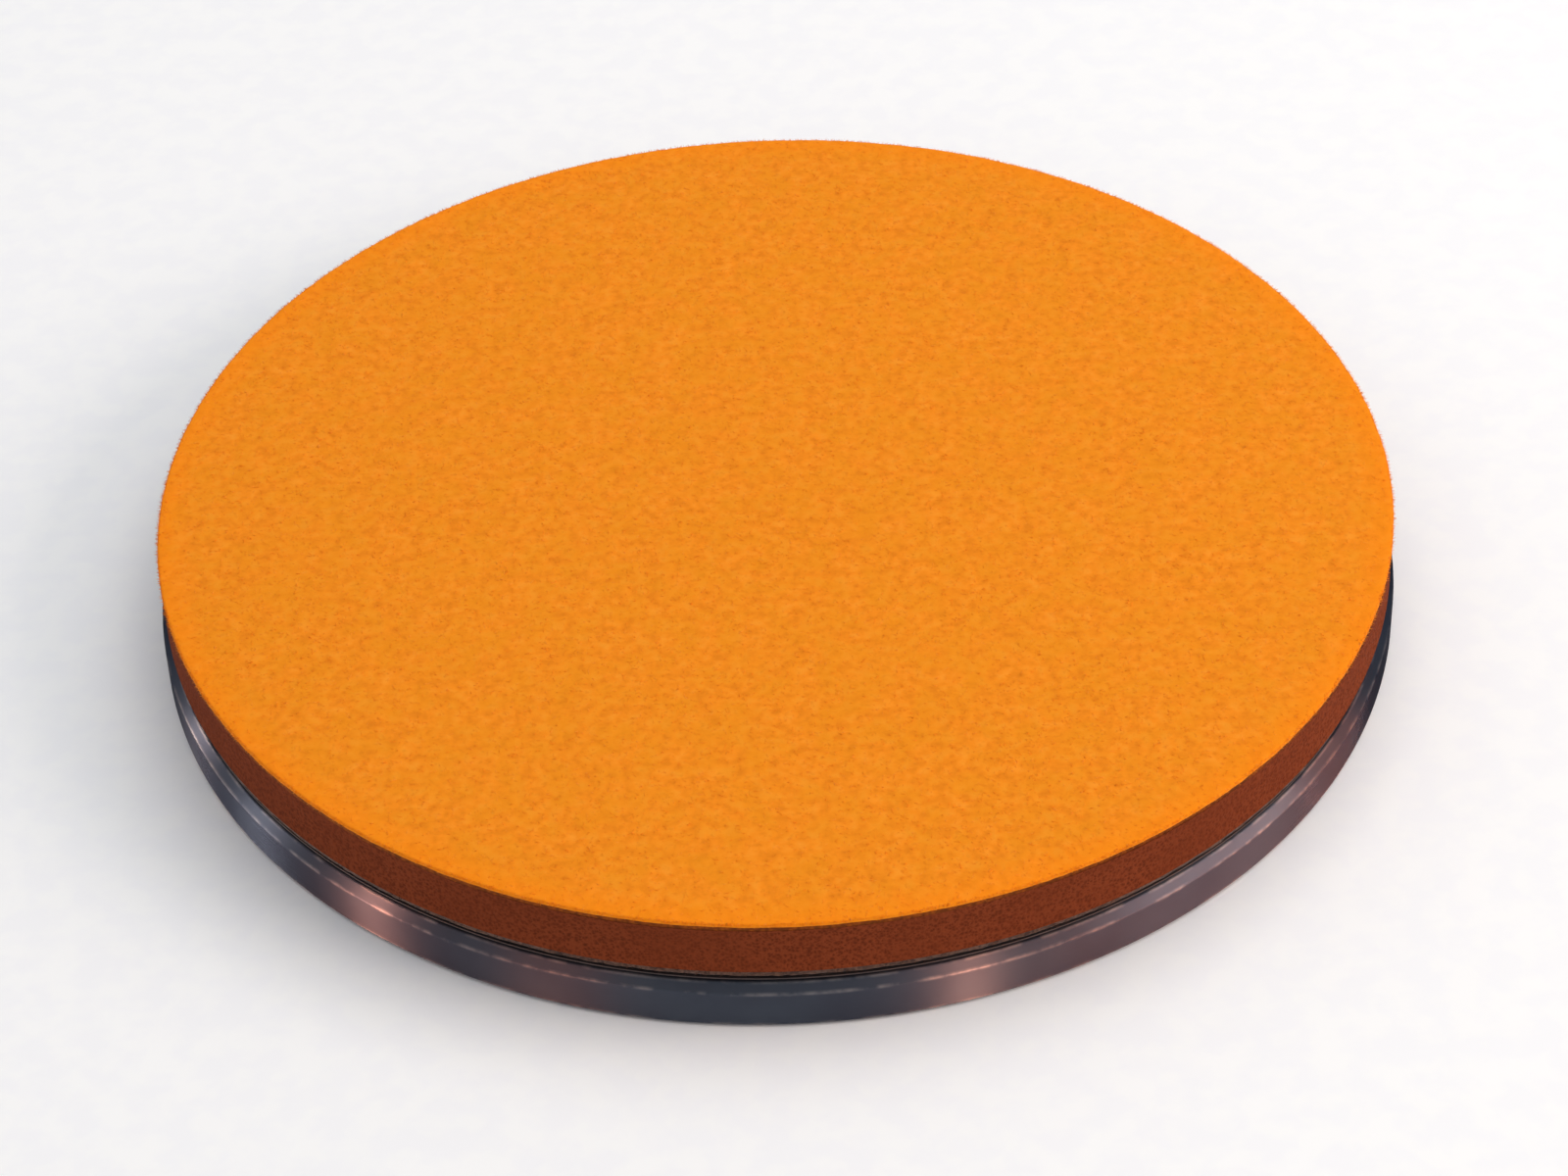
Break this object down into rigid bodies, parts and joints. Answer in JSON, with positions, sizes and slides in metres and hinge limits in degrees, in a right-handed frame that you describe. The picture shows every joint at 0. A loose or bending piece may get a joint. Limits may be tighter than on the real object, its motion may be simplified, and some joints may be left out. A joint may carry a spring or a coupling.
{
  "type": "polishing pad on backing plate",
  "caption": "Round laminated polishing pad with an orange nap face, held by hook and loop on a flat turned aluminium backing plate with a central threaded bush.",
  "frame": {"origin": "centre of the plate's underside, on the axis of the bush, where the plate lies on the bench", "axes": "+Z along the spindle axis, from the plate's underside to the working face; X and Y are any two radii, with the first screw 30 degrees from +X towards +Y"},
  "size_m": [0.15, 0.15, 0.0152],
  "materials": {
    "turned_aluminium": "turned, dark anodised",
    "plain_steel": "turned",
    "blackened_steel": "black oxide",
    "contact_glue": "amber film",
    "hook_nylon": "moulded hooks",
    "loop_fleece": "brushed knit",
    "rust_foam": "fine open-cell foam",
    "orange_nap": "short dense nap"
  },
  "bodies": {
    "plate": {"backing_plate": "turned_aluminium", "threaded_bush": "plain_steel", "bush_screw_1": "blackened_steel", "bush_screw_2": "blackened_steel", "bush_screw_3": "blackened_steel", "bush_screw_4": "blackened_steel", "bush_screw_5": "blackened_steel", "bush_screw_6": "blackened_steel", "hook_film": "contact_glue", "hook_sheet": "hook_nylon"},
    "pad": {"loop_fleece": "loop_fleece", "back_film": "contact_glue", "foam_cushion": "rust_foam", "face_film": "contact_glue", "working_face": "orange_nap"}
  },
  "joints": [
    {"name": "pad_lift", "type": "slide", "parent": "plate", "child": "pad", "axis": [0, 0, 1], "range_m": [0, 0.03]}
  ]
}
